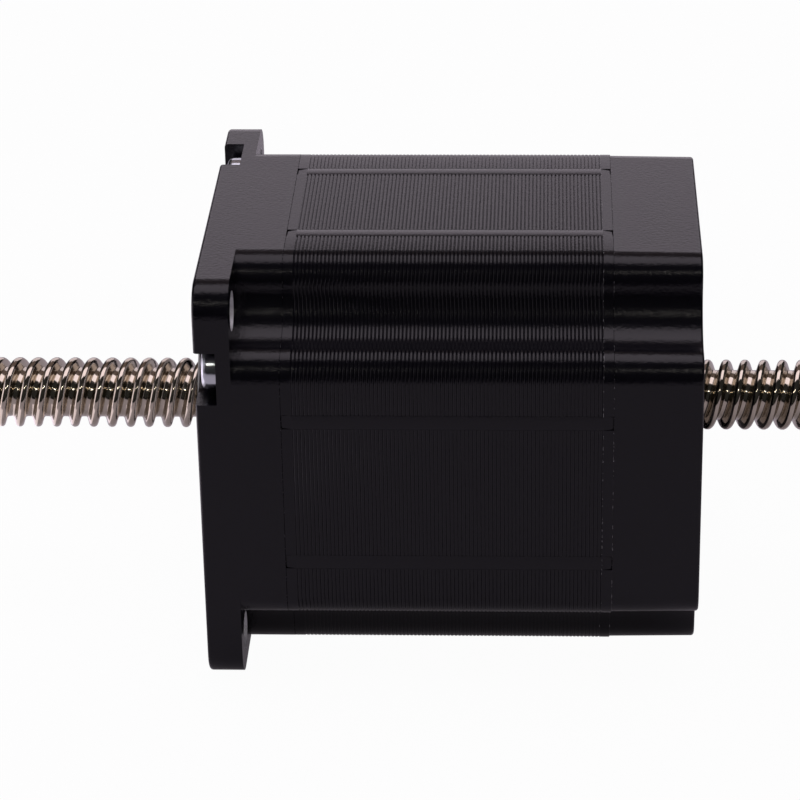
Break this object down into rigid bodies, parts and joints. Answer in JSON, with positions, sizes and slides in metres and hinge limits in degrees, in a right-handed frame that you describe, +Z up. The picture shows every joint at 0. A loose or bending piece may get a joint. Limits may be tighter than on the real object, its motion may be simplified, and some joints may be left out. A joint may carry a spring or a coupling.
{
  "type": "non-captive linear stepper motor",
  "caption": "Square black stepper motor with a flanged front, notched corners and a lead screw that slides right through its hollow rotor.",
  "frame": {"origin": "centre of the flange's front mounting face, on the screw axis", "axes": "+X along the screw axis from the flange to the rear cap, +Z up with the motor lying on a flat side"},
  "size_m": [0.15, 0.0576, 0.057],
  "materials": {
    "black_paint": "semi-gloss black paint on a die casting",
    "painted_laminations": "semi-gloss black paint over stacked steel sheets",
    "enamelled_copper": "enamelled winding wire",
    "insulator_plastic": "moulded nylon",
    "zinc_plated_steel": "bright zinc plating",
    "bearing_steel": "ground bearing steel",
    "pressed_steel": "pressed sheet steel",
    "spring_steel": "rolled spring steel",
    "black_rubber": "moulded rubber",
    "turned_steel": "fine turned steel",
    "core_steel": "ground core steel",
    "magnet": "ground magnet",
    "nut_bronze": "turned bronze",
    "stainless_steel": "rolled stainless steel"
  },
  "bodies": {
    "motor": {"front_housing": "black_paint", "rear_housing": "black_paint", "stator_stack": "painted_laminations", "stator_coils": "enamelled_copper", "front_coil_insulator": "insulator_plastic", "rear_coil_insulator": "insulator_plastic", "assembly_screws": "zinc_plated_steel", "front_bearing_outer_ring": "bearing_steel", "rear_bearing_outer_ring": "bearing_steel", "front_bearing_shields": "pressed_steel", "rear_bearing_shields": "pressed_steel", "bearing_wave_spring": "spring_steel", "lead_outlet_grommet": "black_rubber"},
    "rotor": {"rotor_sleeve": "turned_steel", "rotor_core_front": "core_steel", "rotor_core_rear": "core_steel", "rotor_magnet": "magnet", "lead_nut": "nut_bronze", "nut_retainer": "turned_steel", "front_bearing_inner_ring": "bearing_steel", "rear_bearing_inner_ring": "bearing_steel"},
    "screw": {"lead_screw": "stainless_steel"}
  },
  "joints": [
    {"name": "rotor_spin", "type": "hinge", "parent": "motor", "child": "rotor", "pos_m": [0.0323, 0, 0], "axis": [1, 0, 0], "range_deg": [-2880, 2880]},
    {"name": "screw_travel", "type": "slide", "parent": "motor", "child": "screw", "axis": [1, 0, 0], "range_m": [-0.0407, 0.0407]}
  ],
  "couplings": [
    {"joint": "screw_travel", "follows": "rotor_spin", "m_per_rad": 0.00080851}
  ]
}
